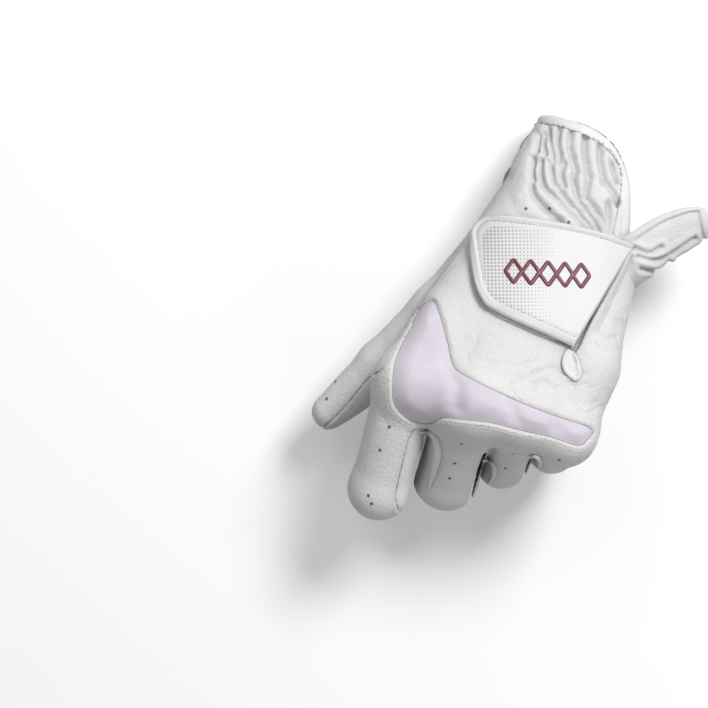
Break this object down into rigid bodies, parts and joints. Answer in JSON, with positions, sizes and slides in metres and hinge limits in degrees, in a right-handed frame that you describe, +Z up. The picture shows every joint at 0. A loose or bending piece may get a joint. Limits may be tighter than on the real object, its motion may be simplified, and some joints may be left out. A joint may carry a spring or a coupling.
{
  "type": "golf glove",
  "caption": "Left-hand leather golf glove curled as if round a club handle, with stretch knuckle insert, gathered cuff and hinged hook-and-loop wrist tab.",
  "frame": {"origin": "bottom centre of the bounding box, glove lying palm down on its curled fingertips and cuff edge", "axes": "+X along the handle the fingers clamp, from the forefinger side towards the butt end; +Y across the handle towards the thumb; +Z up, out of the back of the hand"},
  "size_m": [0.1532, 0.1228, 0.0738],
  "materials": {
    "white_leather": "matte fine-grained leather",
    "gusset_leather": "matte thin leather",
    "stretch_fabric": "smooth lilac stretch knit",
    "hem_leather": "matte folded leather",
    "elastic": "ribbed elastic",
    "loop_fabric": "brushed loop pile",
    "hook_tape": "moulded hooks",
    "tab_leather": "smooth coated leather",
    "binding": "rolled piping",
    "emblem": "raised satin print"
  },
  "bodies": {
    "hand": {"palm_panel": "white_leather", "back_panel": "white_leather", "knuckle_insert": "stretch_fabric", "index_sleeve": "white_leather", "middle_sleeve": "white_leather", "ring_sleeve": "white_leather", "little_sleeve": "white_leather", "gusset_index_middle": "gusset_leather", "gusset_middle_ring": "gusset_leather", "gusset_ring_little": "gusset_leather", "thumb_sleeve": "white_leather", "wrist_hem": "hem_leather", "wrist_elastic": "elastic", "slit_reinforcement": "hem_leather", "loop_patch": "loop_fabric", "tab_anchor": "white_leather", "cuff_flap": "white_leather", "flap_hem": "hem_leather"},
    "closure": {"closure_tab": "tab_leather", "tab_binding": "binding", "tab_emblem": "emblem", "hook_patch": "hook_tape"},
    "index_middle": {"index_middle_segment": "white_leather"},
    "index_end": {"index_fingertip": "white_leather"},
    "middle_middle": {"middle_middle_segment": "white_leather"},
    "middle_end": {"middle_fingertip": "white_leather"},
    "ring_middle": {"ring_middle_segment": "white_leather"},
    "ring_end": {"ring_fingertip": "white_leather"},
    "little_middle": {"little_middle_segment": "white_leather"},
    "little_end": {"little_fingertip": "white_leather"},
    "thumb_end": {"thumb_tip": "white_leather"}
  },
  "joints": [
    {"name": "closure_hinge", "type": "hinge", "parent": "hand", "child": "closure", "pos_m": [0.015, -0.0214, 0.0659], "axis": [0.6506, 0.6595, -0.3765], "range_deg": [0, 120]},
    {"name": "index_knuckle", "type": "hinge", "parent": "hand", "child": "index_middle", "pos_m": [-0.06411, -0.04716, 0.0411], "axis": [-0.8339, 0.5519, 0], "range_deg": [-5, 70]},
    {"name": "index_end_joint", "type": "hinge", "parent": "index_middle", "child": "index_end", "pos_m": [-0.06383, -0.04674, 0.0166], "axis": [-0.8339, 0.5519, 0], "range_deg": [-4.6, 58.6]},
    {"name": "middle_knuckle", "type": "hinge", "parent": "hand", "child": "middle_middle", "pos_m": [-0.04064, -0.05175, 0.0316], "axis": [-0.8339, 0.5519, 0], "range_deg": [-5, 63]},
    {"name": "middle_end_joint", "type": "hinge", "parent": "middle_middle", "child": "middle_end", "pos_m": [-0.03568, -0.04424, 0.0081], "axis": [-0.8339, 0.5519, 0], "range_deg": [-5.5, 63.5]},
    {"name": "ring_knuckle", "type": "hinge", "parent": "hand", "child": "ring_middle", "pos_m": [-0.01942, -0.05216, 0.0251], "axis": [-0.8339, 0.5519, 0], "range_deg": [-5, 61]},
    {"name": "ring_end_joint", "type": "hinge", "parent": "ring_middle", "child": "ring_end", "pos_m": [-0.01197, -0.04091, 0.0061], "axis": [-0.8339, 0.5519, 0], "range_deg": [-5.2, 58.4]},
    {"name": "little_knuckle", "type": "hinge", "parent": "hand", "child": "little_middle", "pos_m": [-0.00025, -0.05342, 0.0236], "axis": [-0.8339, 0.5519, 0], "range_deg": [-5, 45]},
    {"name": "little_end_joint", "type": "hinge", "parent": "little_middle", "child": "little_end", "pos_m": [0.00555, -0.04466, 0.0086], "axis": [-0.8339, 0.5519, 0], "range_deg": [-5.8, 47.8]},
    {"name": "thumb_joint", "type": "hinge", "parent": "hand", "child": "thumb_end", "pos_m": [-0.049, -0.0074, 0.0261], "axis": [0.1705, 0, -0.9854], "range_deg": [-18, 18]}
  ],
  "couplings": [
    {"joint": "index_end_joint", "follows": "index_knuckle", "ratio": 0.83},
    {"joint": "middle_end_joint", "follows": "middle_knuckle", "ratio": 1},
    {"joint": "ring_end_joint", "follows": "ring_knuckle", "ratio": 0.95},
    {"joint": "little_end_joint", "follows": "little_knuckle", "ratio": 1.05}
  ]
}
